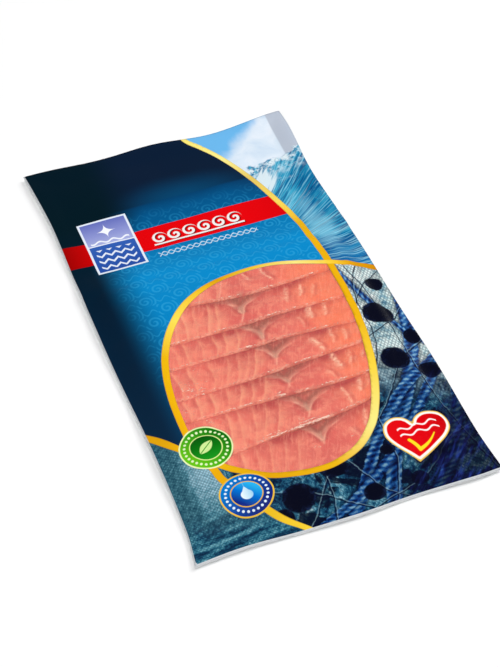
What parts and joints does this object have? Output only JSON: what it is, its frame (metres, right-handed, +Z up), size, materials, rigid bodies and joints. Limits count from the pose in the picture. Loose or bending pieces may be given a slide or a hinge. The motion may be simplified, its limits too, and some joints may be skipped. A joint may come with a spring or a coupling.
{
  "type": "vacuum pack of sliced salted pink salmon",
  "caption": "Flat welded film pouch, printed outside, with a clear curved window over overlapping slices of salted pink salmon.",
  "frame": {"origin": "middle of the pack's length and width, on the surface that it lies on", "axes": "+X across the pack to the print's right, +Y along the pack to the print's top edge, +Z up out of the window"},
  "size_m": [0.1426, 0.2591, 0.0074],
  "materials": {
    "printed_film": "glossy printed film in blues, with gold lines, a red band and small round fields",
    "back_film": "plain white film, satin",
    "clear_film": "thin clear glossy plastic film",
    "fish": "moist salmon flesh with pale seams, satin to wet"
  },
  "bodies": {
    "root": {"pouch": "printed_film", "window_film": "clear_film", "slice_1": "fish", "slice_2": "fish", "slice_3": "fish", "slice_4": "fish", "slice_5": "fish", "slice_6": "fish", "slice_7": "fish"}
  },
  "joints": []
}
